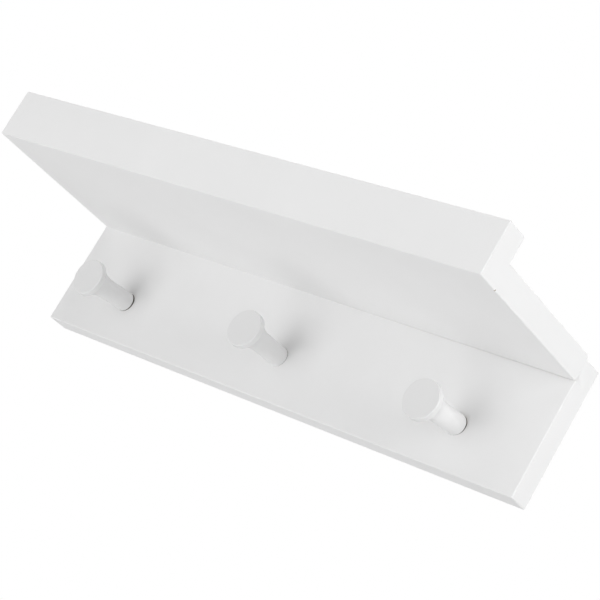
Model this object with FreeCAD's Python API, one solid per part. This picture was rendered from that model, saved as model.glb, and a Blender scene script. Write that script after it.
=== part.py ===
"""Painted wall shelf with a front lip and three turned pegs.

Millimetres. The origin is the centre of the back board's wall face: X runs along the wall, the wall is
the plane Y = 0 with the shelf standing out towards -Y, and Z is up.
"""
import FreeCAD, Part
import math
import os
from FreeCAD import Placement, Rotation, Vector

os.makedirs("parts", exist_ok=True)

# Boards
LENGTH = 440.0                  # along the wall, the same for the three boards
DEPTH = 145.0                   # from the wall to the front of the lip
BACK_HEIGHT = 96.0
BACK_THICKNESS = 18.0
SHELF_THICKNESS = 18.0
LIP_HEIGHT = 36.0               # from the shelf's underside
LIP_THICKNESS = 18.0
BACK_STEP = 2.6                 # the shelf's top face stands this far above the back board
ARRIS = 0.8                     # rounding of the outer edges
JOINT_NICK = 1.0                # radius of the unfilled corner under each end of the lip joint

# Pegs
PEG_END_INSET = 62.5            # outer pegs, from the ends of the back board, before the shift
PEG_ROW_SHIFT = 0.9             # the row of pegs sits this far to the right of the middle
PEG_RISE = 31.7                 # peg screws, above the lower edge of the back board
PEG_LENGTH = 42.2               # from the end on the board to the flat face
PEG_SHAFT_DIAMETER = 14.6
PEG_HEAD_DIAMETER = 26.6
PEG_RIM = 4.2                   # thickness of the head at its edge
PEG_FLARE = 17.0                # length of the hollow curve between shaft and head
PEG_FACE_EASE = 0.7             # rounding of the edge of the flat face
LEFT_PEG_SAG = 1.0              # how far the two loose pegs have sunk on their screws
RIGHT_PEG_SAG = 1.5
LEFT_PEG_DROOP = 5.0            # degrees that each peg hangs down
MIDDLE_PEG_DROOP = 1.6
RIGHT_PEG_DROOP = 5.5
LEFT_PEG_SWING = 1.0            # degrees that the loosest peg leans towards the left
LEFT_PEG_SLACK = 0.3            # between it and the board, where they are nearest

# Screws, all countersunk, each named by what it holds
PEG_SCREW_DIAMETER = 4.0
PEG_SCREW_LENGTH = 30.0
SHELF_SCREW_DIAMETER = 4.0
SHELF_SCREW_LENGTH = 50.0
SHELF_SCREW_COUNT = 4
SHELF_SCREW_INSET = 40.0        # end screws, from the ends of the back board
PLATE_SCREW_DIAMETER = 3.0
PLATE_SCREW_LENGTH = 12.0
SCREW_HEAD_RATIO = 2.0          # head diameter over shank diameter
RECESS_WIDTH_RATIO = 1.1        # width of the cross recess over shank diameter
RECESS_SLOT_RATIO = 0.28        # width of each of its slots over shank diameter
RECESS_DEPTH_RATIO = 0.7        # its depth over the height of the head
SCREW_SINK = 0.3                # heads lie this far below the surface

# Dowels
DOWEL_DIAMETER = 6.0
DOWEL_LENGTH = 30.0
DOWEL_END_ROOM = 1.0            # spare depth at each end of the hole
DOWEL_CHAMFER = 0.8
SHELF_DOWEL_DEPTH = 10.0        # of the shelf dowels, in the back board
LIP_DOWEL_DEPTH = 12.0          # of the lip dowels, in the lip
LIP_DOWEL_COUNT = 4
LIP_DOWEL_INSET = 40.0          # end dowels, from the ends of the shelf

# Keyhole hangers
PLATE_END_INSET = 30.0          # plate centres, from the ends of the back board
PLATE_DROP = 40.0               # plate centres, below the top of the back board
PLATE_HEIGHT = 46.0
PLATE_WIDTH = 17.0
PLATE_THICKNESS = 2.0
PLATE_SCREW_INSET = 5.0         # from the ends of the plate
KEYHOLE_DIAMETER = 10.0         # takes the head of a wall screw
KEYHOLE_SLOT = 5.0              # width for its shank
KEYHOLE_LIFT = 10.0             # from the round hole to the top of the slot
KEYHOLE_POCKET_DEPTH = 8.0      # behind the wall face
KEYHOLE_POCKET_ROOM = 0.75      # all round the keyhole

# Levels and planes worked out from the sizes above
END = LENGTH / 2
BACK_TOP = BACK_HEIGHT / 2
BACK_BOTTOM = -BACK_TOP
BACK_FRONT = -BACK_THICKNESS
SHELF_TOP = BACK_TOP + BACK_STEP
SHELF_BOTTOM = SHELF_TOP - SHELF_THICKNESS
LIP_FRONT = -DEPTH
LIP_REAR = LIP_FRONT + LIP_THICKNESS
LIP_TOP = SHELF_BOTTOM + LIP_HEIGHT
FIXING_LEVEL = (SHELF_BOTTOM + BACK_TOP) / 2
PEG_LEVEL = BACK_BOTTOM + PEG_RISE
PEG_SPREAD = END - PEG_END_INSET
PLATE_LEVEL = BACK_TOP - PLATE_DROP
PLATE_SPREAD = END - PLATE_END_INSET
PLATE_SCREW_REACH = PLATE_HEIGHT / 2 - PLATE_SCREW_INSET
KEYHOLE_LEVEL = PLATE_LEVEL - KEYHOLE_LIFT / 2

OUTWARD = Vector(0, -1, 0)
SCREW_TURN = Rotation(Vector(0, 0, 1), OUTWARD)
TOUCHING = 1e-6


def save(name, *solids):
    """Writes one node of the shelf."""
    Part.makeCompound(list(solids)).exportStep("parts/" + name + ".step")


def spaced(count, inset):
    """Places along the shelf, evenly spaced between two points the same distance from its ends."""
    first = inset - END
    step = -2 * first / (count - 1)
    return [first + step * number for number in range(count)]


def between(places):
    """The middle of each space in a row of places."""
    return [(a + b) / 2 for a, b in zip(places, places[1:])]


def plank(rear, front, bottom, top):
    """A board as long as the shelf."""
    return Part.makeBox(LENGTH, rear - front, top - bottom, Vector(-END, front, bottom))


def eased(board, is_outer_edge):
    """Rounds the edges of a board that a hand would meet."""
    edges = [edge for edge in board.Edges if is_outer_edge(edge.CenterOfMass)]
    return board.makeFillet(ARRIS, edges)


def rod(diameter, start, end):
    """A round bar, or the hole for one, between two points."""
    along = end - start
    return Part.makeCylinder(diameter / 2, along.Length, start, along)


def lines(points):
    """Straight edges through (radius, height) points."""
    corners = [Vector(radius, 0, height) for radius, height in points]
    return [Part.LineSegment(a, b).toShape() for a, b in zip(corners, corners[1:])]


def arc(start, middle, end):
    """An arc through three (radius, height) points."""
    return Part.Arc(*[Vector(radius, 0, height) for radius, height in (start, middle, end)]).toShape()


def turned(outline, start, turn):
    """A closed outline turned about its axis, with the axis foot at start and the axis turned from Z."""
    solid = Part.Face(Part.Wire(outline)).revolve(Vector(0, 0, 0), Vector(0, 0, 1), 360)
    solid.Placement = Placement(start, turn)
    return solid


class Screw:
    """A countersunk wood screw driven away from the wall, sunk a little below the surface."""

    def __init__(self, diameter, length, x, level):
        self.diameter = diameter
        self.shank = diameter / 2
        self.head = self.shank * SCREW_HEAD_RATIO
        self.cone = self.head - self.shank
        self.length = length
        self.start = Vector(x, 0, level) + OUTWARD * SCREW_SINK

    def below_head(self):
        """The outline from the edge of the head to the point."""
        point = (self.shank, self.length - self.diameter)
        return [(self.head, 0), (self.shank, self.cone), point, (0, self.length)]

    def solid(self):
        """The screw with its cross recess."""
        body = turned(lines([(0, 0)] + self.below_head() + [(0, 0)]), Vector(), Rotation())
        long_side = self.diameter * RECESS_WIDTH_RATIO
        short_side = self.diameter * RECESS_SLOT_RATIO
        for width, breadth in ((long_side, short_side), (short_side, long_side)):
            corner = Vector(-width / 2, -breadth / 2, 0)
            body = body.cut(Part.makeBox(width, breadth, self.cone * RECESS_DEPTH_RATIO, corner))
        body.Placement = Placement(self.start, SCREW_TURN)
        return body

    def room(self):
        """The space that the screw takes up in the pieces it holds, open to the surface."""
        mouth = [(0, -SCREW_SINK), (self.head, -SCREW_SINK)]
        return turned(lines(mouth + self.below_head() + mouth[:1]), self.start, SCREW_TURN)


class Dowel:
    """A dowel with chamfered ends that runs away from the wall."""

    def __init__(self, x, start, level):
        self.start = Vector(x, start, level)

    def solid(self):
        radius = DOWEL_DIAMETER / 2
        neck = radius - DOWEL_CHAMFER
        shoulder = DOWEL_LENGTH - DOWEL_CHAMFER
        points = [(0, 0), (neck, 0), (radius, DOWEL_CHAMFER), (radius, shoulder)]
        points += [(neck, DOWEL_LENGTH), (0, DOWEL_LENGTH), (0, 0)]
        return turned(lines(points), self.start, SCREW_TURN)

    def room(self):
        """Its hole, a little deeper than the dowel at both ends."""
        spare = OUTWARD * DOWEL_END_ROOM
        return rod(DOWEL_DIAMETER, self.start - spare, self.start + OUTWARD * DOWEL_LENGTH + spare)


def peg(x, sag, droop, swing=0.0, slack=0.0):
    """A turned peg that stands on the board, on one side of its end where it leans."""
    shaft = PEG_SHAFT_DIAMETER / 2
    head = PEG_HEAD_DIAMETER / 2
    rim_back = PEG_LENGTH - PEG_RIM
    flare_start = rim_back - PEG_FLARE
    flare_rise = head - shaft
    flare_radius = (PEG_FLARE ** 2 + flare_rise ** 2) / (2 * flare_rise)
    half_turn = math.atan2(flare_rise, PEG_FLARE)
    flare_middle = (
        shaft + flare_radius * (1 - math.cos(half_turn)),
        flare_start + flare_radius * math.sin(half_turn),
    )
    ease_start = (head, PEG_LENGTH - PEG_FACE_EASE)
    ease_end = (head - PEG_FACE_EASE, PEG_LENGTH)
    ease_sag = PEG_FACE_EASE * (1 - math.sqrt(0.5))
    ease_middle = (head - ease_sag, PEG_LENGTH - ease_sag)
    outline = lines([(0, 0), (shaft, 0), (shaft, flare_start)])
    outline.append(arc((shaft, flare_start), flare_middle, (head, rim_back)))
    outline += lines([(head, rim_back), ease_start])
    outline.append(arc(ease_start, ease_middle, ease_end))
    outline += lines([ease_end, (0, PEG_LENGTH), (0, 0)])
    lean = Rotation(Vector(0, 0, 1), -swing) * Rotation(Vector(1, 0, 0), 90 + droop)
    tilt = lean.multVec(Vector(0, 0, 1)).getAngle(OUTWARD)
    lift = shaft * math.sin(tilt) + slack
    return turned(outline, Vector(x, BACK_FRONT, PEG_LEVEL - sag) + OUTWARD * lift, lean)


def keyhole(x, rear, front, room):
    """The space of a keyhole between two planes, widened all round by room."""
    entry = Vector(x, rear, KEYHOLE_LEVEL)
    slot_end = entry + Vector(0, 0, KEYHOLE_LIFT)
    through = OUTWARD * (rear - front)
    slot_width = KEYHOLE_SLOT + 2 * room
    slot_corner = Vector(x - slot_width / 2, front, KEYHOLE_LEVEL)
    slot = Part.makeBox(slot_width, rear - front, KEYHOLE_LIFT, slot_corner)
    slot_top = rod(slot_width, slot_end, slot_end + through)
    round_hole = rod(KEYHOLE_DIAMETER + 2 * room, entry, entry + through)
    return round_hole.fuse([slot, slot_top]).removeSplitter()


def plate_blank(x):
    """A hanger plate before its holes, with half-round ends, flush with the wall face."""
    straight = PLATE_HEIGHT - PLATE_WIDTH
    bottom = PLATE_LEVEL - straight / 2
    corner = Vector(x - PLATE_WIDTH / 2, -PLATE_THICKNESS, bottom)
    blank = Part.makeBox(PLATE_WIDTH, PLATE_THICKNESS, straight, corner)
    for level in (bottom, bottom + straight):
        blank = blank.fuse(rod(PLATE_WIDTH, Vector(x, 0, level), Vector(x, -PLATE_THICKNESS, level)))
    return blank.removeSplitter()


def solids(pieces):
    return [piece.solid() for piece in pieces]


def rooms(pieces):
    return [piece.room() for piece in pieces]


# Places along the shelf
peg_places = {
    "left": PEG_ROW_SHIFT - PEG_SPREAD,
    "middle": PEG_ROW_SHIFT,
    "right": PEG_ROW_SHIFT + PEG_SPREAD,
}
peg_leans = {
    "left": (LEFT_PEG_SAG, LEFT_PEG_DROOP, LEFT_PEG_SWING, LEFT_PEG_SLACK),
    "middle": (0.0, MIDDLE_PEG_DROOP),
    "right": (RIGHT_PEG_SAG, RIGHT_PEG_DROOP),
}
plate_places = {"left": -PLATE_SPREAD, "right": PLATE_SPREAD}
shelf_screw_places = spaced(SHELF_SCREW_COUNT, SHELF_SCREW_INSET)
lip_dowel_places = spaced(LIP_DOWEL_COUNT, LIP_DOWEL_INSET)

# Fixings
peg_screws = [Screw(PEG_SCREW_DIAMETER, PEG_SCREW_LENGTH, x, PEG_LEVEL) for x in peg_places.values()]
shelf_screws = [Screw(SHELF_SCREW_DIAMETER, SHELF_SCREW_LENGTH, x, FIXING_LEVEL) for x in shelf_screw_places]
plate_screws = []
for x in plate_places.values():
    for level in (PLATE_LEVEL - PLATE_SCREW_REACH, PLATE_LEVEL + PLATE_SCREW_REACH):
        plate_screws.append(Screw(PLATE_SCREW_DIAMETER, PLATE_SCREW_LENGTH, x, level))
shelf_dowel_start = BACK_FRONT + SHELF_DOWEL_DEPTH
shelf_dowels = [Dowel(x, shelf_dowel_start, FIXING_LEVEL) for x in between(shelf_screw_places)]
lip_dowel_start = LIP_REAR + DOWEL_LENGTH - LIP_DOWEL_DEPTH
lip_dowels = [Dowel(x, lip_dowel_start, FIXING_LEVEL) for x in lip_dowel_places]

# Back board, sharp behind the shelf so that their joint closes, with the hangers let into its wall face
back_board = eased(plank(0, BACK_FRONT, BACK_BOTTOM, BACK_TOP), lambda middle: True)
back_board = back_board.fuse(plank(BACK_FRONT + ARRIS, BACK_FRONT, SHELF_BOTTOM, BACK_TOP)).removeSplitter()
for x in plate_places.values():
    pocket = keyhole(x, -PLATE_THICKNESS, -KEYHOLE_POCKET_DEPTH, KEYHOLE_POCKET_ROOM)
    back_board = back_board.cut([plate_blank(x), pocket])
back_board = back_board.cut(rooms(peg_screws + shelf_screws + plate_screws + shelf_dowels))
save("back_board", back_board)

# Shelf board, sharp where it meets the lip and the back board so that those joints close
shelf_board = eased(
    plank(BACK_FRONT, LIP_REAR, SHELF_BOTTOM, SHELF_TOP),
    lambda middle: abs(middle.x) > END - TOUCHING and LIP_REAR + TOUCHING < middle.y < BACK_FRONT - TOUCHING,
)
nicks = [Part.makeSphere(JOINT_NICK, Vector(x, LIP_REAR, SHELF_BOTTOM)) for x in (-END, END)]
shelf_board = shelf_board.cut(rooms(shelf_screws + shelf_dowels + lip_dowels) + nicks)
save("shelf_board", shelf_board)

# Front lip, sharp along its joint with the shelf
front_lip = eased(
    plank(LIP_REAR, LIP_FRONT, SHELF_BOTTOM, LIP_TOP),
    lambda middle: middle.y < LIP_REAR - TOUCHING or middle.z > LIP_TOP - TOUCHING,
)
save("front_lip", front_lip.cut(rooms(lip_dowels)))

# Pegs, each bored for the screw that holds it
for side, x in peg_places.items():
    save("peg_" + side, peg(x, *peg_leans[side]).cut(rooms(peg_screws)))

# Keyhole hangers
for side, x in plate_places.items():
    plate = plate_blank(x).cut(keyhole(x, 0, -PLATE_THICKNESS, 0))
    save("keyhole_plate_" + side, plate.cut(rooms(plate_screws)))

# Fixings, one node for each kind
save("peg_screws", *solids(peg_screws))
save("shelf_screws", *solids(shelf_screws))
save("keyhole_plate_screws", *solids(plate_screws))
save("shelf_dowels", *solids(shelf_dowels))
save("lip_dowels", *solids(lip_dowels))
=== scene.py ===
"""White painted wall shelf with a front lip, three turned pegs and two hangers on its back.

Metres, in the part's own frame: X runs along the wall, the wall is the plane Y = 0 with the room towards
-Y, and Z is up.
"""

import math

import bmesh
import bpy
from bpy.props import FloatProperty, FloatVectorProperty, PointerProperty
from bpy.types import Operator, Panel, PropertyGroup
from mathutils import Matrix, Vector


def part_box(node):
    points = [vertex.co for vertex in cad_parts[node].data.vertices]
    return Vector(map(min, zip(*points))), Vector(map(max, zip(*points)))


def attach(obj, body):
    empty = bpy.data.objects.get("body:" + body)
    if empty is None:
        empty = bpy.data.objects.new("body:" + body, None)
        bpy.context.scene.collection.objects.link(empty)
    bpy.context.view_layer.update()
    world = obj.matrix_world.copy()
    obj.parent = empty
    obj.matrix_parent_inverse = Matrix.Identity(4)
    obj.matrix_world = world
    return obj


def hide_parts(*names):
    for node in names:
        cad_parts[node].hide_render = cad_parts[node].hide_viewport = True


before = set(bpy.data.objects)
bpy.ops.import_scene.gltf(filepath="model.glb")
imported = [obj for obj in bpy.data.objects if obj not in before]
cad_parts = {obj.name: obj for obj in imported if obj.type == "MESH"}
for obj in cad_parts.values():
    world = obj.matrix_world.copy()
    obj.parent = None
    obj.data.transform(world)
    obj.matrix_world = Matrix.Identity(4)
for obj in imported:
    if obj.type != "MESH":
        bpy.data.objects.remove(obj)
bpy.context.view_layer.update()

bl_info = {
    "name": "Wall Shelf With Pegs",
    "version": (1, 0, 0),
    "blender": (4, 5, 0),
    "location": "3D View > Sidebar > Wall Shelf",
    "description": "Builds a painted wall shelf with a front lip, turned pegs and hangers on its back",
    "category": "Add Mesh",
}

MM = 0.001
BODY = "root"
WHITE = (1.0, 1.0, 1.0)

# Boxes of the solids that the pieces stand for
BACK_LOW, BACK_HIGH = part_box("back_board")
SHELF_LOW, SHELF_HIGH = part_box("shelf_board")
LIP_LOW, LIP_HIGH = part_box("front_lip")

# How finely round shapes are drawn
ARRIS_STEPS = 6
HOLE_SIDES = 96
PEG_SIDES = 128
FLARE_STEPS = 28
SCREW_SIDES = 32
THREAD_ROWS = 8
FLUTE_SIDES = 4

PROUD = 1.0 * MM                # a cutting tool stands this far out of the face that it enters
WELD = 0.003 * MM               # points nearer than this are one
PLACE_TOLERANCE = 0.35 * MM     # between a piece and the solid that it stands for
FLAT_ANGLE = math.radians(32)   # a sharper turn between two faces is drawn as an edge
FLAT_WEIGHT = 50                # how far flat faces win over the roundings beside them


def linear(colour):
    """An sRGB hex colour as linear red, green and blue."""
    channels = [int(colour[start:start + 2], 16) / 255 for start in (1, 3, 5)]
    return tuple(c / 12.92 if c <= 0.04045 else ((c + 0.055) / 1.055) ** 2.4 for c in channels)


def size(name, description, millimetres):
    """A length that a user may change."""
    return FloatProperty(
        name=name, description=description, default=millimetres * MM, min=0.0, precision=5,
        subtype="DISTANCE", unit="LENGTH",
    )


def angle(name, description, degrees):
    """An angle that a user may change."""
    return FloatProperty(
        name=name, description=description, default=math.radians(degrees), subtype="ANGLE", unit="ROTATION",
    )


def colour(name, description, value):
    """A colour that a user may change."""
    return FloatVectorProperty(
        name=name, description=description, default=linear(value), size=3, min=0.0, max=1.0, subtype="COLOR",
    )


def place(name, description, *millimetres):
    """A point that a user may change."""
    return FloatVectorProperty(
        name=name, description=description, default=[value * MM for value in millimetres], size=3,
        subtype="TRANSLATION", unit="LENGTH",
    )


def power(name, description, watts):
    """The power of a lamp that a user may change."""
    return FloatProperty(name=name, description=description, default=watts, min=0.0, unit="POWER")


class BoardSizes(PropertyGroup):
    """Sizes of the three boards that their boxes don't give."""

    arris: size("Arris", "Rounding of the outer edges of the boards", 0.8)
    nick: size("Nick", "Radius of the unfilled corner under each end of the lip joint", 1.0)
    crack: size("Crack", "Width at the right end of the crack between the shelf and the back board", 0.35)
    crack_depth: size("Crack depth", "How far the crack goes up into the joint", 2.0)


class PegSizes(PropertyGroup):
    """Sizes and lean of the turned pegs."""

    length: size("Length", "From the end on the board to the flat face", 42.2)
    head: size("Head", "Diameter of the flat face", 26.6)
    shaft: size("Shaft", "Diameter of the shaft", 14.6)
    rim: size("Rim", "Thickness of the head at its edge", 4.2)
    flare: size("Flare", "Length of the hollow curve between shaft and head", 17.0)
    ease: size("Ease", "Rounding of the edge of the flat face", 0.7)
    left_sag: size("Left sag", "How far the left peg has sunk on its screw", 1.0)
    right_sag: size("Right sag", "How far the right peg has sunk on its screw", 1.5)
    left_droop: angle("Left droop", "How far the left peg hangs down", 5.0)
    middle_droop: angle("Middle droop", "How far the middle peg hangs down", 1.6)
    right_droop: angle("Right droop", "How far the right peg hangs down", 5.5)
    left_swing: angle("Left swing", "How far the left peg leans to the left", 1.0)
    left_slack: size("Left slack", "Between the board and the left peg, where they are nearest", 0.3)
    paint_film: size("Paint film", "Depth of the paint on the board, which has none under the pegs", 0.1)


class FixingSizes(PropertyGroup):
    """Sizes of the screws, dowels and hanger plates that their boxes don't give."""

    screw_head: size("Screw head", "Head diameter of the screws that hold shelf and pegs", 8.0)
    plate_screw_head: size("Plate screw head", "Head diameter of the screws of the hanger plates", 6.0)
    thread_pitch: size("Thread pitch", "From one turn of the thread to the next", 1.8)
    thread_height: size("Thread height", "From the core to the crest of the thread", 0.55)
    dowel: size("Dowel", "Diameter of the dowels", 6.0)
    dowel_chamfer: size("Dowel chamfer", "At both ends of a dowel", 0.8)
    dowel_spare: size("Dowel spare", "Spare depth of the hole at each end of a dowel", 1.0)
    keyhole: size("Keyhole", "Diameter of the round hole that takes a screw head", 10.0)
    keyhole_slot: size("Keyhole slot", "Width of the slot that takes its shank", 5.0)
    keyhole_lift: size("Keyhole lift", "From the round hole to the top of the slot", 10.0)
    pocket_depth: size("Pocket depth", "Depth of the pocket behind the keyhole", 8.0)
    pocket_room: size("Pocket room", "How much wider the pocket is than the keyhole, all round", 0.75)
    stamped_edge: size("Stamped edge", "Rounding of the edges of the hanger plates", 0.25)


class FinishColours(PropertyGroup):
    """Colours of the finishes."""

    paint: colour("Paint", "White satin lacquer of the boards", "#EDEDED")
    paint_shade: colour("Paint shade", "The same where the coat is thinnest", "#E9E9E9")
    # The pegs' lacquer is a shade darker than the same lacquer on the boards: painted shade for the pegs
    # under the shelf
    peg_paint: colour("Peg paint", "White satin lacquer of the pegs", "#E7E7E7")
    peg_paint_shade: colour("Peg paint shade", "The same where the coat is thinnest", "#E3E3E3")
    fibreboard: colour("Fibreboard", "Bare fibreboard inside the holes", "#998A79")
    fibreboard_light: colour("Fibreboard light", "Its paler fibres", "#B4A693")
    # Bare fibreboard under the pegs: its dark colour is painted shade for the gaps under the leaning pegs
    glue: colour("Glue", "Fibreboard under the pegs, soaked with glue", "#47423D")
    glue_light: colour("Glue light", "Fibres that the glue hasn't reached", "#625B53")
    beech: colour("Beech", "Bare beech", "#D8B88E")
    beech_dark: colour("Beech dark", "Its darker grain", "#BC9365")
    zinc: colour("Zinc", "Bright zinc plating", "#CDD0D3")
    zinc_dull: colour("Zinc dull", "The plating where it has dulled", "#A9ADB1")
    floor: colour("Floor", "Pale floor paint", "#F2F2F2")


class StudioSettings(PropertyGroup):
    """Camera and lamps."""

    azimuth: angle("Azimuth", "Where the camera stands, from the front towards the right end", 43.58)
    elevation: angle("Elevation", "How high the camera stands, below the shelf where it is negative", -12.91)
    roll: angle("Roll", "How far the camera is turned about its line of sight", 30.53)
    aim: place("Aim", "The point in the middle of the picture", -14.2, -12.0, 27.9)
    distance: size("Distance", "From the camera to that point", 1296.2)
    lens: FloatProperty(
        name="Lens", description="Focal length", default=114.54, min=1.0, subtype="DISTANCE_CAMERA",
    )
    floor_drop: size("Floor drop", "From the shelf down to the floor", 1700.0)
    ambient: FloatProperty(
        name="Ambient", description="Strength of the light from all round", default=0.41, min=0.0,
    )
    front_power: power("Front power", "Power of the lamp in front, low and a little to the left", 6.8)
    front_place: place("Front place", "Where the front lamp hangs", -250.0, -1400.0, -450.0)
    front_size: size("Front size", "Width and height of the front lamp", 900.0)
    top_power: power("Top power", "Power of the lamp above", 9.2)
    top_place: place("Top place", "Where the top lamp hangs", 100.0, -700.0, 1400.0)
    top_size: size("Top size", "Width and height of the top lamp", 1200.0)
    under_power: power("Under power", "Power of the lamp below", 3.5)
    under_place: place("Under place", "Where the lamp below stands", -100.0, -300.0, -1000.0)
    under_size: size("Under size", "Width and height of the lamp below", 1200.0)
    side_power: power("Side power", "Power of the lamp to the right and in front", 2.4)
    side_place: place("Side place", "Where the side lamp hangs", 900.0, -300.0, 200.0)
    side_size: size("Side size", "Width and height of the side lamp", 500.0)
    end_power: power("End power", "Power of the lamp that lights the right end alone", 1.9)
    end_place: place("End place", "Where the end lamp hangs", 1000.0, 100.0, -100.0)
    end_size: size("End size", "Width and height of the end lamp", 300.0)
    back_power: power("Back power", "Power of the lamp behind, which lights the wall face alone", 9.0)
    back_place: place("Back place", "Where the lamp behind hangs", -300.0, 1500.0, 500.0)
    back_size: size("Back size", "Width and height of the lamp behind", 1200.0)


class WallShelf(PropertyGroup):
    """Everything that a user may change."""

    boards: PointerProperty(name="Boards", description="Sizes of the boards", type=BoardSizes)
    pegs: PointerProperty(name="Pegs", description="Sizes and lean of the pegs", type=PegSizes)
    fixings: PointerProperty(name="Fixings", description="Sizes of the fixings", type=FixingSizes)
    colours: PointerProperty(name="Colours", description="Colours of the finishes", type=FinishColours)
    studio: PointerProperty(name="Studio", description="Camera and lamps", type=StudioSettings)


# Materials

# Sockets of the node that mixes two colours, by number because some of them share a name
MIX_SHARE, MIX_FIRST, MIX_SECOND, MIX_RESULT = 0, 6, 7, 2


def add(tree, kind, inputs=(), **settings):
    """Adds a node with its settings; an input takes a value or an output of another node."""
    node = tree.nodes.new(kind)
    for name, value in settings.items():
        setattr(node, name, value)
    for name, value in dict(inputs).items():
        if isinstance(value, bpy.types.NodeSocket):
            tree.links.new(value, node.inputs[name])
        else:
            node.inputs[name].default_value = value
    return node


def per_metre(millimetres):
    """The scale at which a noise texture has grains of this size."""
    return 1 / (millimetres * MM)


def opaque(value):
    """A colour with full alpha, for a node's colour input."""
    return (*value, 1.0)


def finish(make):
    """The material that a function makes, made once."""
    found = bpy.data.materials.get(make.__name__)
    if found:
        return found
    material = bpy.data.materials.new(make.__name__)
    material.use_nodes = True
    tree = material.node_tree
    tree.nodes.clear()
    shader = make(tree, bpy.context.scene.wall_shelf.colours)
    add(tree, "ShaderNodeOutputMaterial", {"Surface": shader.outputs[0]})
    return material


# Patterns are in millimetres. The real orange peel is finer than a pixel, and is drawn coarser to show.
ORANGE_PEEL = 1.4
PEEL_DEPTH = 0.03
COAT_DRIFT = 45.0
LACQUER_IOR = 1.5
LACQUER_SHEEN = 0.12            # of 0.5 without matting powder in the lacquer, which breaks up the rest
LACQUER_ROUGHNESS = (0.62, 0.72)


def sprayed(tree, coat, thin_coat, ground=()):
    """Satin lacquer from a spray gun: even, with a faint orange peel over the bumps of its ground."""
    where = add(tree, "ShaderNodeTexCoord").outputs["Object"]
    drift = add(tree, "ShaderNodeTexNoise", {
        "Vector": where, "Scale": per_metre(COAT_DRIFT), "Detail": 3.0,
    }).outputs["Fac"]
    peel = add(tree, "ShaderNodeTexNoise", {
        "Vector": where, "Scale": per_metre(ORANGE_PEEL), "Detail": 2.0,
    }).outputs["Fac"]
    tint = add(tree, "ShaderNodeMix", {
        MIX_SHARE: drift, MIX_FIRST: opaque(coat), MIX_SECOND: opaque(thin_coat),
    }, data_type="RGBA")
    gloss = add(tree, "ShaderNodeMapRange", {
        "Value": peel, "To Min": LACQUER_ROUGHNESS[0], "To Max": LACQUER_ROUGHNESS[1],
    })
    skin = add(tree, "ShaderNodeBump", {
        "Height": peel, "Distance": PEEL_DEPTH * MM, "Strength": 1.0, **dict(ground),
    })
    return add(tree, "ShaderNodeBsdfPrincipled", {
        "Base Color": tint.outputs[MIX_RESULT],
        "Roughness": gloss.outputs["Result"],
        "Normal": skin.outputs["Normal"],
        "IOR": LACQUER_IOR,
        "Specular IOR Level": LACQUER_SHEEN,
    })


def satin_lacquer_on_fibreboard(tree, colours):
    """White satin lacquer on sanded fibreboard: nothing of the board shows through the coat."""
    return sprayed(tree, colours.paint, colours.paint_shade)


# Rings that the turning tool left under the lacquer, drawn wider apart than real ones so that they show
TOOL_RINGS = 1.1
RING_DEPTH = 0.02


def satin_lacquer_on_turned_beech(tree, colours):
    """White satin lacquer on turned beech: faint rings from the tool run round the peg under the coat."""
    where = add(tree, "ShaderNodeTexCoord").outputs["Object"]
    along = add(tree, "ShaderNodeSeparateXYZ", {"Vector": where}).outputs["Z"]
    rings = add(
        tree, "ShaderNodeTexNoise", {"W": along, "Scale": per_metre(TOOL_RINGS), "Detail": 1.0},
        noise_dimensions="1D",
    )
    turned = add(tree, "ShaderNodeBump", {
        "Height": rings.outputs["Fac"], "Distance": RING_DEPTH * MM, "Strength": 1.0,
    })
    # The darker peg colours are painted shade for the pegs under the shelf
    return sprayed(tree, colours.peg_paint, colours.peg_paint_shade, {"Normal": turned.outputs["Normal"]})


FIBRE = 0.7
FUR_DEPTH = 0.15
DRILLED_ROUGHNESS = 0.92
# Roughness of the dark patch under the pegs, whose colour is painted shade
UNDER_PEG_ROUGHNESS = 0.6


def fibrous(tree, ground, fibre, roughness):
    """Fibreboard without paint: furry with paler fibres."""
    where = add(tree, "ShaderNodeTexCoord").outputs["Object"]
    fibres = add(tree, "ShaderNodeTexNoise", {
        "Vector": where, "Scale": per_metre(FIBRE), "Detail": 5.0, "Roughness": 0.65,
    }).outputs["Fac"]
    tint = add(tree, "ShaderNodeMix", {
        MIX_SHARE: fibres, MIX_FIRST: opaque(ground), MIX_SECOND: opaque(fibre),
    }, data_type="RGBA")
    fur = add(tree, "ShaderNodeBump", {"Height": fibres, "Distance": FUR_DEPTH * MM, "Strength": 1.0})
    return add(tree, "ShaderNodeBsdfPrincipled", {
        "Base Color": tint.outputs[MIX_RESULT],
        "Roughness": roughness,
        "Normal": fur.outputs["Normal"],
    })


def bare_fibreboard(tree, colours):
    """Medium-density fibreboard as the drill left it: matt greyish brown."""
    return fibrous(tree, colours.fibreboard, colours.fibreboard_light, DRILLED_ROUGHNESS)


def glue_soaked_fibreboard(tree, colours):
    """Bare fibreboard under the pegs, coloured dark as painted shade for the gaps under the leaning pegs,
    and a little shiny.
    """
    return fibrous(tree, colours.glue, colours.glue_light, UNDER_PEG_ROUGHNESS)


GRAIN_WIDTH = 0.5
GRAIN_LENGTH = 14.0
PORE_DEPTH = 0.05
BEECH_ROUGHNESS = 0.6


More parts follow.
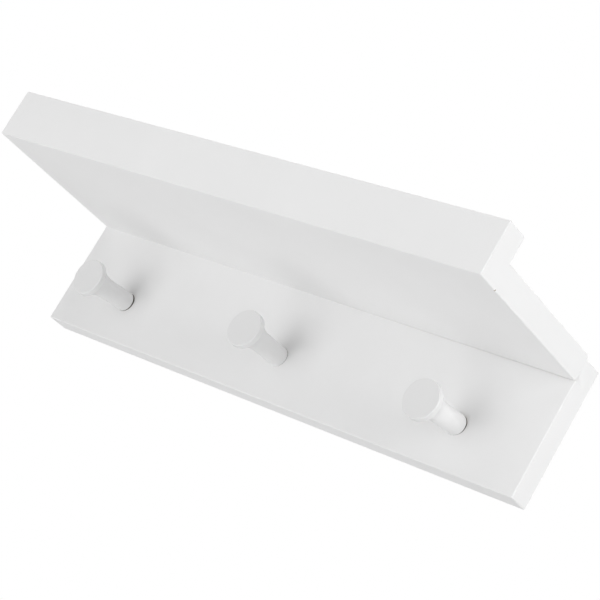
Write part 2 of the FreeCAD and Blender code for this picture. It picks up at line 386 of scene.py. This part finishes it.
def bare_beech(tree, colours):
    """Planed beech: pinkish straw colour with short dark streaks along the grain."""
    where = add(tree, "ShaderNodeTexCoord").outputs["Object"]
    stretch = (per_metre(GRAIN_WIDTH), per_metre(GRAIN_LENGTH), per_metre(GRAIN_WIDTH))
    along = add(tree, "ShaderNodeVectorMath", {0: where, 1: stretch}, operation="MULTIPLY")
    grain = add(tree, "ShaderNodeTexNoise", {
        "Vector": along.outputs["Vector"], "Scale": 1.0, "Detail": 4.0,
    }).outputs["Fac"]
    tint = add(tree, "ShaderNodeMix", {
        MIX_SHARE: grain, MIX_FIRST: opaque(colours.beech), MIX_SECOND: opaque(colours.beech_dark),
    }, data_type="RGBA")
    pores = add(tree, "ShaderNodeBump", {"Height": grain, "Distance": PORE_DEPTH * MM, "Strength": 1.0})
    return add(tree, "ShaderNodeBsdfPrincipled", {
        "Base Color": tint.outputs[MIX_RESULT],
        "Roughness": BEECH_ROUGHNESS,
        "Normal": pores.outputs["Normal"],
    })


SPANGLE = 2.2
ROLLING_WIDTH = 0.25
ROLLING_LENGTH = 9.0
ROLLING_DEPTH = 0.01
ZINC_ROUGHNESS = (0.24, 0.44)


def zinc_plated_steel(tree, colours):
    """Rolled steel with bright zinc plating: cool grey, cloudy, with fine rolling marks along it."""
    where = add(tree, "ShaderNodeTexCoord").outputs["Object"]
    cloud = add(tree, "ShaderNodeTexNoise", {
        "Vector": where, "Scale": per_metre(SPANGLE), "Detail": 3.0,
    }).outputs["Fac"]
    stretch = (per_metre(ROLLING_WIDTH), per_metre(ROLLING_WIDTH), per_metre(ROLLING_LENGTH))
    along = add(tree, "ShaderNodeVectorMath", {0: where, 1: stretch}, operation="MULTIPLY")
    rolling = add(tree, "ShaderNodeTexNoise", {
        "Vector": along.outputs["Vector"], "Scale": 1.0, "Detail": 2.0,
    }).outputs["Fac"]
    tint = add(tree, "ShaderNodeMix", {
        MIX_SHARE: cloud, MIX_FIRST: opaque(colours.zinc), MIX_SECOND: opaque(colours.zinc_dull),
    }, data_type="RGBA")
    gloss = add(tree, "ShaderNodeMapRange", {
        "Value": cloud, "To Min": ZINC_ROUGHNESS[0], "To Max": ZINC_ROUGHNESS[1],
    })
    marks = add(tree, "ShaderNodeBump", {"Height": rolling, "Distance": ROLLING_DEPTH * MM, "Strength": 1.0})
    return add(tree, "ShaderNodeBsdfPrincipled", {
        "Base Color": tint.outputs[MIX_RESULT],
        "Metallic": 1.0,
        "Roughness": gloss.outputs["Result"],
        "Normal": marks.outputs["Normal"],
    })


def seen_directly(tree):
    """One where a surface is seen or mirrored, and nothing where it only sheds light on others."""
    path = add(tree, "ShaderNodeLightPath").outputs
    seen = path["Is Camera Ray"]
    for ray in ("Is Glossy Ray", "Is Transmission Ray"):
        seen = add(tree, "ShaderNodeMath", {0: seen, 1: path[ray]}, operation="MAXIMUM").outputs[0]
    return seen


FLOOR_MOTTLE = 60.0
FLOOR_ROUGHNESS = (0.85, 0.95)
FLOOR_PALENESS = 0.95


def pale_floor(tree, colours):
    """Matt pale floor paint, very slightly uneven, which looks nearly white and still takes a shadow."""
    where = add(tree, "ShaderNodeTexCoord").outputs["Object"]
    mottle = add(tree, "ShaderNodeTexNoise", {
        "Vector": where, "Scale": per_metre(FLOOR_MOTTLE), "Detail": 2.0,
    }).outputs["Fac"]
    gloss = add(tree, "ShaderNodeMapRange", {
        "Value": mottle, "To Min": FLOOR_ROUGHNESS[0], "To Max": FLOOR_ROUGHNESS[1],
    })
    paint = add(tree, "ShaderNodeBsdfPrincipled", {
        "Base Color": opaque(colours.floor),
        "Roughness": gloss.outputs["Result"],
    })
    white = add(tree, "ShaderNodeEmission", {"Color": opaque(WHITE), "Strength": 1.0})
    share = add(tree, "ShaderNodeMath", {0: seen_directly(tree), 1: FLOOR_PALENESS}, operation="MULTIPLY")
    return add(tree, "ShaderNodeMixShader", {0: share.outputs[0], 1: paint.outputs[0], 2: white.outputs[0]})


# Meshes

def spread(low, high, count):
    """Evenly spaced values from low to high."""
    return [low + (high - low) * number / (count - 1) for number in range(count)]


def arc(centre, radius, start, end, steps):
    """Points on an arc about a centre, from one angle to another, both included."""
    return [
        (centre[0] + radius * math.cos(turn), centre[1] + radius * math.sin(turn))
        for turn in spread(start, end, steps + 1)
    ]


def rows_of(node, radius, columns, rows=1):
    """Axes of the round pieces of a node as (x, z) places, from the node's box."""
    low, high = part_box(node)
    levels = spread(low.z + radius, high.z - radius, rows) if rows > 1 else [(low.z + high.z) / 2]
    return [(x, z) for x in spread(low.x + radius, high.x - radius, columns) for z in levels]


def join_rings(bm, rings, turn=Matrix()):
    """Covers a row of rings, where a ring of one point closes an end, and puts the shape in its place."""
    for lower, upper in zip(rings, rings[1:]):
        sides = max(len(lower), len(upper))
        for side in range(sides):
            after = side + 1
            corners = [lower[side % len(lower)], lower[after % len(lower)]]
            corners += [upper[after % len(upper)], upper[side % len(upper)]]
            bm.faces.new(list(dict.fromkeys(corners)))
    bmesh.ops.transform(bm, matrix=turn, verts=[point for loop in rings for point in loop])


def ring(bm, height, sides, radius_at):
    """A ring of points about the Z axis, with a radius for each angle."""
    turns = [2 * math.pi * side / sides for side in range(sides)]
    radii = [radius_at(turn) for turn in turns]
    return [bm.verts.new((r * math.cos(t), r * math.sin(t), height)) for r, t in zip(radii, turns)]


def lathe(bm, outline, sides, turn=Matrix()):
    """Turns an outline of (radius, height) points about the Z axis and puts it in its place."""
    rings = []
    for radius, height in outline:
        if radius:
            rings.append(ring(bm, height, sides, lambda _: radius))
        else:
            rings.append([bm.verts.new((0, 0, height))])
    join_rings(bm, rings, turn)


def slab(bm, outline, start, end, axis=1):
    """Runs an outline, given in the other two axes, from one plane to another along an axis."""
    loops = []
    for level in (start, end):
        loops.append([bm.verts.new((*point[:axis], level, *point[axis:])) for point in outline])
        bm.faces.new(loops[-1])
    join_rings(bm, loops)


def plank(low, high, arris, is_rounded, division=None):
    """A board with some of its edges rounded, and its upright ones divided at a level if one is given."""
    bm = bmesh.new()
    scale = Matrix.Diagonal((*(high - low), 1.0))
    bmesh.ops.create_cube(bm, size=1.0, matrix=Matrix.Translation((low + high) / 2) @ scale)
    if division is not None:
        everything = bm.verts[:] + bm.edges[:] + bm.faces[:]
        bmesh.ops.bisect_plane(bm, geom=everything, plane_co=(0, 0, division), plane_no=(0, 0, 1))
    edges = [edge for edge in bm.edges if is_rounded((edge.verts[0].co + edge.verts[1].co) / 2)]
    bmesh.ops.bevel(
        bm, geom=edges, offset=arris, offset_type="OFFSET", affect="EDGES",
        segments=ARRIS_STEPS, profile=0.5,
    )
    return bm


def new_object(name, bm, *materials):
    """Puts a mesh into the scene."""
    bmesh.ops.recalc_face_normals(bm, faces=bm.faces)
    mesh = bpy.data.meshes.new(name)
    bm.to_mesh(mesh)
    bm.free()
    for material in materials:
        mesh.materials.append(material)
    made = bpy.data.objects.new(name, mesh)
    bpy.context.scene.collection.objects.link(made)
    return made


def apply_modifiers(piece):
    """Turns what the modifiers of a piece give into its mesh."""
    graph = bpy.context.evaluated_depsgraph_get()
    before = piece.data
    piece.data = bpy.data.meshes.new_from_object(piece.evaluated_get(graph))
    piece.modifiers.clear()
    bpy.data.meshes.remove(before)


def weld(piece):
    """Joins points that a cut has left almost in one place."""
    bm = bmesh.new()
    bm.from_mesh(piece.data)
    bmesh.ops.remove_doubles(bm, verts=bm.verts, dist=WELD)
    bmesh.ops.dissolve_degenerate(bm, dist=WELD, edges=bm.edges)
    bm.to_mesh(piece.data)
    bm.free()


def cut(piece, tools, bare):
    """Takes tools that don't touch each other out of a piece and leaves their walls in a bare material."""
    cutter = new_object("cutter", tools, bare)
    modifier = piece.modifiers.new("cut", "BOOLEAN")
    modifier.operation = "DIFFERENCE"
    modifier.solver = "EXACT"
    modifier.material_mode = "TRANSFER"
    modifier.object = cutter
    apply_modifiers(piece)
    weld(piece)
    used = cutter.data
    bpy.data.objects.remove(cutter)
    bpy.data.meshes.remove(used)
    if not piece.data.polygons:
        raise RuntimeError(f"nothing is left of {piece.name} after a cut")


def shade(piece):
    """Draws round faces smooth and keeps flat ones flat up to their edges."""
    mesh = piece.data
    mesh.polygons.foreach_set("use_smooth", [True] * len(mesh.polygons))
    mesh.set_sharp_from_angle(angle=FLAT_ANGLE)
    modifier = piece.modifiers.new("flat faces", "WEIGHTED_NORMAL")
    modifier.mode = "FACE_AREA"
    modifier.weight = FLAT_WEIGHT
    modifier.keep_sharp = True


def hand_over(piece, node):
    """Sets a finished piece in the place of its solid, and stops if it has left that place."""
    bpy.context.view_layer.update()
    points = [piece.matrix_world @ vertex.co for vertex in piece.data.vertices]
    for axis in range(3):
        reach = [point[axis] for point in points]
        gaps = (abs(min(reach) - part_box(node)[0][axis]), abs(max(reach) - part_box(node)[1][axis]))
        if max(gaps) > PLACE_TOLERANCE:
            raise RuntimeError(f"{piece.name} is {max(gaps) / MM:.2f} mm off the place of {node}")
    shade(piece)
    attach(piece, BODY)
    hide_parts(node)


# Shapes that several pieces share

OUTWARD = Matrix.Rotation(math.radians(90), 4, "X")     # turns the Z axis away from the wall
LAND = 0.2 * MM                                            # straight edge of a countersunk head
SCREW_HEAD_RATIO = 2.0                                     # head diameter over shank diameter
THREADED_SHANK = 2.0 * MM                                  # shank radius that the thread's sizes fit
SMOOTH_SHANK = 0.3                                         # share of a screw without thread
RIDGE_SHARE = 0.5                                          # of the pitch that the ridge of a thread takes up
RECESS_WIDTH = 1.1                                         # of the cross recess, over shank diameter
RECESS_SLOT = 0.28                                         # of each of its slots, over shank diameter
RECESS_DEPTH = 0.7                                         # over the height of the head
RECESS_TAPER = 0.55                                        # its width at the bottom over that at the top


def screw_room(node, radius, columns, rows=1):
    """The holes of a row of countersunk screws, open to the wall face."""
    low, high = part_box(node)
    shank = radius / SCREW_HEAD_RATIO
    bm = bmesh.new()
    for x, z in rows_of(node, radius, columns, rows):
        outline = [(0, -PROUD + high.y), (radius, -PROUD + high.y), (radius, 0), (shank, radius - shank)]
        outline += [(shank, high.y - low.y - 2 * shank), (0, high.y - low.y)]
        lathe(bm, outline, SCREW_SIDES, Matrix.Translation((x, high.y, z)) @ OUTWARD)
    return bm


def dowel_room(node, radius, columns, spare):
    """The holes of a row of dowels."""
    low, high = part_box(node)
    bm = bmesh.new()
    for x, z in rows_of(node, radius, columns):
        outline = [(0, -spare), (radius, -spare)]
        outline += [(radius, high.y - low.y + spare), (0, high.y - low.y + spare)]
        lathe(bm, outline, SCREW_SIDES, Matrix.Translation((x, high.y, z)) @ OUTWARD)
    return bm


def plate_outline(low, high):
    """The outline of a hanger plate, with half-round ends."""
    radius = (high.x - low.x) / 2
    middle = (low.x + high.x) / 2
    steps = HOLE_SIDES // 2
    upper = arc((middle, high.z - radius), radius, 0, math.pi, steps)
    return upper + arc((middle, low.z + radius), radius, math.pi, 2 * math.pi, steps)


def keyhole_outline(low, high, fixings, room):
    """The outline of a keyhole in a plate, widened all round by room."""
    middle = (low.x + high.x) / 2
    level = (low.z + high.z - fixings.keyhole_lift) / 2
    radius = fixings.keyhole / 2 + room
    half_slot = fixings.keyhole_slot / 2 + room
    mouth = math.asin(half_slot / radius)
    up = math.pi / 2
    outline = arc((middle, level), radius, up + mouth, up + 2 * math.pi - mouth, HOLE_SIDES)
    return outline + arc((middle, level + fixings.keyhole_lift), half_slot, 0, math.pi, HOLE_SIDES // 2)


def peg_places(fixings):
    """Where the screws that hold the pegs run."""
    return rows_of("peg_screws", fixings.screw_head / 2, 3)


class WALLSHELF_OT_back_board(Operator):
    """Cuts the back board, sharp behind the shelf, with seats for the hangers in its wall face"""

    bl_idname = "wall_shelf.back_board"
    bl_label = "Back board"

    def execute(self, context):
        shelf = context.scene.wall_shelf
        pegs, fixings = shelf.pegs, shelf.fixings
        bare = finish(bare_fibreboard)
        joint = SHELF_LOW.z

        def is_open_edge(middle):
            is_behind_shelf = middle.y < BACK_LOW.y + PROUD and middle.z > joint
            return not is_behind_shelf and abs(middle.z - joint) > PROUD

        board = new_object(
            "painted_back_board",
            plank(BACK_LOW, BACK_HIGH, shelf.boards.arris, is_open_edge, joint),
            finish(satin_lacquer_on_fibreboard),
        )
        # Bare patches under the pegs, whose dark fibreboard is painted shade in the gaps under the leaning
        # pegs
        feet = bmesh.new()
        for (x, z), sag in zip(peg_places(fixings), (pegs.left_sag, 0.0, pegs.right_sag)):
            patch = [(0, 0), (pegs.shaft / 2, 0), (pegs.shaft / 2, PROUD), (0, PROUD)]
            foot = Matrix.Translation((x, BACK_LOW.y + pegs.paint_film, z - sag))
            lathe(feet, patch, HOLE_SIDES, foot @ OUTWARD)
        cut(board, feet, finish(glue_soaked_fibreboard))
        seats, pockets = bmesh.new(), bmesh.new()
        for side in ("left", "right"):
            low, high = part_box("keyhole_plate_" + side)
            slab(seats, plate_outline(low, high), high.y + PROUD, low.y)
            outline = keyhole_outline(low, high, fixings, fixings.pocket_room)
            slab(pockets, outline, (low.y + high.y) / 2, high.y - fixings.pocket_depth)
        cut(board, seats, bare)
        cut(board, pockets, bare)
        head = fixings.screw_head / 2
        cut(board, screw_room("peg_screws", head, 3), bare)
        cut(board, screw_room("shelf_screws", head, 4), bare)
        cut(board, screw_room("keyhole_plate_screws", fixings.plate_screw_head / 2, 2, 2), bare)
        cut(board, dowel_room("shelf_dowels", fixings.dowel / 2, 3, fixings.dowel_spare), bare)
        hand_over(board, "back_board")
        return {"FINISHED"}


class WALLSHELF_OT_shelf_board(Operator):
    """Cuts the shelf board, sharp along its joints, where the filler missed two nicks and a fine crack"""

    bl_idname = "wall_shelf.shelf_board"
    bl_label = "Shelf board"

    def execute(self, context):
        shelf = context.scene.wall_shelf
        fixings = shelf.fixings
        bare = finish(bare_fibreboard)
        end = SHELF_HIGH.x - shelf.boards.arris

        def is_end_edge(middle):
            return abs(middle.x) > end and SHELF_LOW.y + PROUD < middle.y < SHELF_HIGH.y - PROUD

        board = new_object(
            "painted_shelf_board",
            plank(SHELF_LOW, SHELF_HIGH, shelf.boards.arris, is_end_edge),
            finish(satin_lacquer_on_fibreboard),
        )
        cut(board, screw_room("shelf_screws", fixings.screw_head / 2, 4), bare)
        cut(board, dowel_room("shelf_dowels", fixings.dowel / 2, 3, fixings.dowel_spare), bare)
        cut(board, dowel_room("lip_dowels", fixings.dowel / 2, 4, fixings.dowel_spare), bare)
        nicks = bmesh.new()
        for x in (SHELF_LOW.x, SHELF_HIGH.x):
            bmesh.ops.create_uvsphere(
                nicks, u_segments=SCREW_SIDES, v_segments=SCREW_SIDES // 2, radius=shelf.boards.nick,
                matrix=Matrix.Translation((x, SHELF_LOW.y, SHELF_LOW.z)),
            )
        cut(board, nicks, bare)
        crack = bmesh.new()
        beyond = SHELF_HIGH.x + PROUD
        plan = [(0, SHELF_HIGH.y), (beyond, SHELF_HIGH.y + PROUD)]
        plan.append((beyond, SHELF_HIGH.y - shelf.boards.crack))
        slab(crack, plan, SHELF_LOW.z - PROUD, SHELF_LOW.z + shelf.boards.crack_depth, axis=2)
        cut(board, crack, bare)
        hand_over(board, "shelf_board")
        return {"FINISHED"}


class WALLSHELF_OT_front_lip(Operator):
    """Cuts the front lip, rounded all round but along its joint with the shelf"""

    bl_idname = "wall_shelf.front_lip"
    bl_label = "Front lip"

    def execute(self, context):
        shelf = context.scene.wall_shelf
        fixings = shelf.fixings

        def is_outer_edge(middle):
            return middle.y < LIP_HIGH.y - PROUD or middle.z > LIP_HIGH.z - PROUD

        board = new_object(
            "painted_front_lip",
            plank(LIP_LOW, LIP_HIGH, shelf.boards.arris, is_outer_edge),
            finish(satin_lacquer_on_fibreboard),
        )
        holes = dowel_room("lip_dowels", fixings.dowel / 2, 4, fixings.dowel_spare)
        cut(board, holes, finish(bare_fibreboard))
        hand_over(board, "front_lip")
        return {"FINISHED"}


def peg_outline(pegs):
    """Half the section of a peg as (radius, height) points, from the end on the board."""
    shaft = pegs.shaft / 2
    head = pegs.head / 2
    rim_back = pegs.length - pegs.rim
    flare_start = rim_back - pegs.flare
    rise = head - shaft
    sweep = (pegs.flare ** 2 + rise ** 2) / (2 * rise)
    turn = 2 * math.atan2(rise, pegs.flare)
    flare = arc((shaft + sweep, flare_start), sweep, math.pi, math.pi - turn, FLARE_STEPS)
    ease = arc((head - pegs.ease, pegs.length - pegs.ease), pegs.ease, 0, math.pi / 2, ARRIS_STEPS)
    return [(0, 0), (shaft, 0)] + flare + ease + [(0, pegs.length)]


class WALLSHELF_OT_pegs(Operator):
    """Turns the three pegs and stands their bare ends on the back board, some of them leaning"""

    bl_idname = "wall_shelf.pegs"
    bl_label = "Pegs"

    def execute(self, context):
        shelf = context.scene.wall_shelf
        pegs, fixings = shelf.pegs, shelf.fixings
        leans = {
            "left": (pegs.left_sag, pegs.left_droop, pegs.left_swing, pegs.left_slack),
            "middle": (0.0, pegs.middle_droop, 0.0, 0.0),
            "right": (pegs.right_sag, pegs.right_droop, 0.0, 0.0),
        }
        for (side, (sag, droop, swing, slack)), (x, z) in zip(leans.items(), peg_places(fixings)):
            bm = bmesh.new()
            lathe(bm, peg_outline(pegs), PEG_SIDES)
            for face in bm.faces:
                face.material_index = int(all(vert.co.z == 0 for vert in face.verts))
            finishes = finish(satin_lacquer_on_turned_beech), finish(bare_beech)
            peg = new_object("turned_peg_" + side, bm, *finishes)
            lean = Matrix.Rotation(-swing, 4, "Z") @ Matrix.Rotation(math.pi / 2 + droop, 4, "X")
            tilt = lean.col[2].xyz.angle(OUTWARD.col[2].xyz)
            lift = pegs.shaft / 2 * math.sin(tilt) + slack
            peg.matrix_world = Matrix.Translation((x, BACK_LOW.y - lift, z - sag)) @ lean
            context.view_layer.update()
            cut(peg, screw_room("peg_screws", fixings.screw_head / 2, 3), finish(bare_beech))
            hand_over(peg, "peg_" + side)
        return {"FINISHED"}


def threaded_screw(bm, radius, length, fixings, turn):
    """A countersunk wood screw along the Z axis with its thread, put in its place."""
    shank = radius / SCREW_HEAD_RATIO
    core = shank - fixings.thread_height * shank / THREADED_SHANK
    pitch = fixings.thread_pitch * shank / THREADED_SHANK
    thread_start = length * SMOOTH_SHANK
    point = length - 2 * shank
    count = int((length - thread_start) / pitch * THREAD_ROWS)
    heights = spread(thread_start, length, count)[:-1]
    rings = [[bm.verts.new((0, 0, 0))]]
    for head_radius, height in ((radius - LAND, 0), (radius - LAND, LAND), (shank, radius - shank)):
        rings.append(ring(bm, height, SCREW_SIDES, lambda _: head_radius))
    for height in heights:
        taper = min(1.0, (length - height) / (length - point))

        def thread(angle_round):
            phase = (height / pitch - angle_round / (2 * math.pi)) % 1.0
            ridge = max(0.0, 1.0 - abs(phase - 0.5) * 2 / RIDGE_SHARE)
            return (core + (shank - core) * ridge) * taper

        rings.append(ring(bm, height, SCREW_SIDES, thread))
    rings.append([bm.verts.new((0, 0, length))])
    join_rings(bm, rings, turn)


def cross_recess(bm, shank, depth, turn):
    """The tapered cross of a screwdriver's point."""
    long_side = shank * RECESS_WIDTH
    short_side = shank * RECESS_SLOT
    corners = []
    for quarter in range(4):
        x, y = math.cos(quarter * math.pi / 2), math.sin(quarter * math.pi / 2)
        for along, across in ((long_side, -short_side), (long_side, short_side), (short_side, short_side)):
            corners.append((x * along - y * across, y * along + x * across))
    rings = []
    for height, scale in ((-PROUD, 1.0), (0.0, 1.0), (depth, RECESS_TAPER)):
        rings.append([bm.verts.new((x * scale, y * scale, height)) for x, y in corners])
    bm.faces.new(rings[0])
    bm.faces.new(rings[-1])
    join_rings(bm, rings, turn)


class WALLSHELF_OT_screws(Operator):
    """Makes the countersunk screws of shelf, pegs and hanger plates"""

    bl_idname = "wall_shelf.screws"
    bl_label = "Screws"

    def execute(self, context):
        fixings = context.scene.wall_shelf.fixings
        zinc = finish(zinc_plated_steel)
        sets = (
            ("peg_screws", fixings.screw_head / 2, 3, 1),
            ("shelf_screws", fixings.screw_head / 2, 4, 1),
            ("keyhole_plate_screws", fixings.plate_screw_head / 2, 2, 2),
        )
        for node, radius, columns, rows in sets:
            low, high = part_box(node)
            shank = radius / SCREW_HEAD_RATIO
            bm, recesses = bmesh.new(), bmesh.new()
            for x, z in rows_of(node, radius, columns, rows):
                turn = Matrix.Translation((x, high.y, z)) @ OUTWARD
                threaded_screw(bm, radius, high.y - low.y, fixings, turn)
                cross_recess(recesses, shank, (radius - shank) * RECESS_DEPTH, turn)
            screws = new_object("zinc_" + node, bm, zinc)
            cut(screws, recesses, zinc)
            hand_over(screws, node)
        return {"FINISHED"}


FLUTES = 20
FLUTE_DEPTH = 0.25 * MM


class WALLSHELF_OT_dowels(Operator):
    """Makes the fluted dowels inside the joints of shelf, lip and back board"""

    bl_idname = "wall_shelf.dowels"
    bl_label = "Dowels"

    def execute(self, context):
        fixings = context.scene.wall_shelf.fixings
        radius = fixings.dowel / 2
        neck = radius - fixings.dowel_chamfer

        def fluted(turn):
            return radius - FLUTE_DEPTH * (1 - math.cos(turn * FLUTES)) / 2

        for node, count in (("shelf_dowels", 3), ("lip_dowels", 4)):
            low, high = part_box(node)
            length = high.y - low.y
            bm = bmesh.new()
            for x, z in rows_of(node, radius, count):
                rings = [[bm.verts.new((0, 0, 0))]]
                ends = (
                    (0, lambda turn: neck),
                    (fixings.dowel_chamfer, fluted),
                    (length - fixings.dowel_chamfer, fluted),
                    (length, lambda turn: neck),
                )
                for height, radius_at in ends:
                    rings.append(ring(bm, height, FLUTES * FLUTE_SIDES, radius_at))
                rings.append([bm.verts.new((0, 0, length))])
                join_rings(bm, rings, Matrix.Translation((x, high.y, z)) @ OUTWARD)
            dowels = new_object("fluted_" + node, bm, finish(bare_beech))
            hand_over(dowels, node)
        return {"FINISHED"}


STAMPED_STEPS = 2
STAMPED_ANGLE = math.radians(60)        # a sharper edge is rounded by the stamping tool


class WALLSHELF_OT_hangers(Operator):
    """Stamps the two keyhole plates that hook over the screws in the wall"""

    bl_idname = "wall_shelf.hangers"
    bl_label = "Hanger plates"

    def execute(self, context):
        fixings = context.scene.wall_shelf.fixings
        zinc = finish(zinc_plated_steel)
        for side in ("left", "right"):
            node = "keyhole_plate_" + side
            low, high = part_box(node)
            bm = bmesh.new()
            slab(bm, plate_outline(low, high), high.y, low.y)
            plate = new_object("stamped_" + node, bm, zinc)
            keyhole = bmesh.new()
            slab(keyhole, keyhole_outline(low, high, fixings, 0.0), high.y + PROUD, low.y - PROUD)
            cut(plate, keyhole, zinc)
            cut(plate, screw_room("keyhole_plate_screws", fixings.plate_screw_head / 2, 2, 2), zinc)
            softened = plate.modifiers.new("stamped edge", "BEVEL")
            softened.width = fixings.stamped_edge
            softened.segments = STAMPED_STEPS
            softened.limit_method = "ANGLE"
            softened.angle_limit = STAMPED_ANGLE
            apply_modifiers(plate)
            hand_over(plate, node)
        return {"FINISHED"}


FLOOR_REACH = 60.0
LAMPS = ("front", "top", "under", "side", "end", "back")


class WALLSHELF_OT_studio(Operator):
    """Sets the pale floor, the soft lamps, the white surroundings and the camera"""

    bl_idname = "wall_shelf.studio"
    bl_label = "Studio"

    def execute(self, context):
        scene = context.scene
        studio = scene.wall_shelf.studio
        scene.view_settings.view_transform = "Standard"
        self.lay_floor(studio)
        self.light_surroundings(scene, studio)
        for lamp in LAMPS:
            setting = [getattr(studio, f"{lamp}_{what}") for what in ("place", "power", "size")]
            self.hang_lamp(scene, lamp, *setting)
        self.stand_camera(scene, studio)
        return {"FINISHED"}

    def lay_floor(self, studio):
        bm = bmesh.new()
        bmesh.ops.create_circle(
            bm, cap_ends=True, segments=HOLE_SIDES, radius=FLOOR_REACH,
            matrix=Matrix.Translation((0, 0, -studio.floor_drop)),
        )
        new_object("floor", bm, finish(pale_floor))

    def light_surroundings(self, scene, studio):
        """Soft light from all round, which looks white wherever it is seen or mirrored."""
        world = bpy.data.worlds.new("white_surroundings")
        world.use_nodes = True
        tree = world.node_tree
        tree.nodes.clear()
        soft = add(tree, "ShaderNodeBackground", {"Color": opaque(WHITE), "Strength": studio.ambient})
        white = add(tree, "ShaderNodeBackground", {"Color": opaque(WHITE), "Strength": 1.0})
        both = add(tree, "ShaderNodeMixShader", {
            0: seen_directly(tree), 1: soft.outputs[0], 2: white.outputs[0],
        })
        add(tree, "ShaderNodeOutputWorld", {"Surface": both.outputs[0]})
        scene.world = world

    def hang_lamp(self, scene, name, where, watts, width):
        """A square soft lamp that faces the shelf."""
        data = bpy.data.lights.new(name + "_lamp", "AREA")
        data.energy = watts
        data.size = width
        lamp = bpy.data.objects.new(name + "_lamp", data)
        lamp.location = where
        lamp.rotation_euler = (-Vector(where)).to_track_quat("-Z", "Y").to_euler()
        lamp.visible_camera = False
        scene.collection.objects.link(lamp)

    def stand_camera(self, scene, studio):
        """A camera at an azimuth and elevation about its aim, then turned about its line of sight."""
        data = bpy.data.cameras.new("camera")
        data.lens = studio.lens
        camera = bpy.data.objects.new("camera", data)
        turn = Matrix.Rotation(studio.azimuth, 4, "Z")
        turn = turn @ Matrix.Rotation(math.pi / 2 - studio.elevation, 4, "X")
        turn = turn @ Matrix.Rotation(studio.roll, 4, "Z")
        back = Matrix.Translation((0, 0, studio.distance))
        camera.matrix_world = Matrix.Translation(studio.aim) @ turn @ back
        scene.collection.objects.link(camera)
        scene.camera = camera


OPERATORS = (
    WALLSHELF_OT_back_board,
    WALLSHELF_OT_shelf_board,
    WALLSHELF_OT_front_lip,
    WALLSHELF_OT_pegs,
    WALLSHELF_OT_screws,
    WALLSHELF_OT_dowels,
    WALLSHELF_OT_hangers,
    WALLSHELF_OT_studio,
)


class WALLSHELF_PT_builder(Panel):
    """Lists the steps that build the shelf"""

    bl_idname = "WALLSHELF_PT_builder"
    bl_label = "Wall shelf"
    bl_space_type = "VIEW_3D"
    bl_region_type = "UI"
    bl_category = "Wall Shelf"

    def draw(self, context):
        for operator in OPERATORS:
            self.layout.operator(operator.bl_idname)


GROUPS = (BoardSizes, PegSizes, FixingSizes, FinishColours, StudioSettings, WallShelf)
CLASSES = GROUPS + OPERATORS + (WALLSHELF_PT_builder,)


def register():
    for item in CLASSES:
        bpy.utils.register_class(item)
    bpy.types.Scene.wall_shelf = PointerProperty(
        name="Wall shelf", description="Sizes, colours and studio of the wall shelf", type=WallShelf,
    )


def unregister():
    del bpy.types.Scene.wall_shelf
    for item in reversed(CLASSES):
        bpy.utils.unregister_class(item)


def main():
    register()
    bpy.ops.wall_shelf.back_board()
    bpy.ops.wall_shelf.shelf_board()
    bpy.ops.wall_shelf.front_lip()
    bpy.ops.wall_shelf.pegs()
    bpy.ops.wall_shelf.screws()
    bpy.ops.wall_shelf.dowels()
    bpy.ops.wall_shelf.hangers()
    bpy.ops.wall_shelf.studio()


if __name__ == "__main__":
    main()
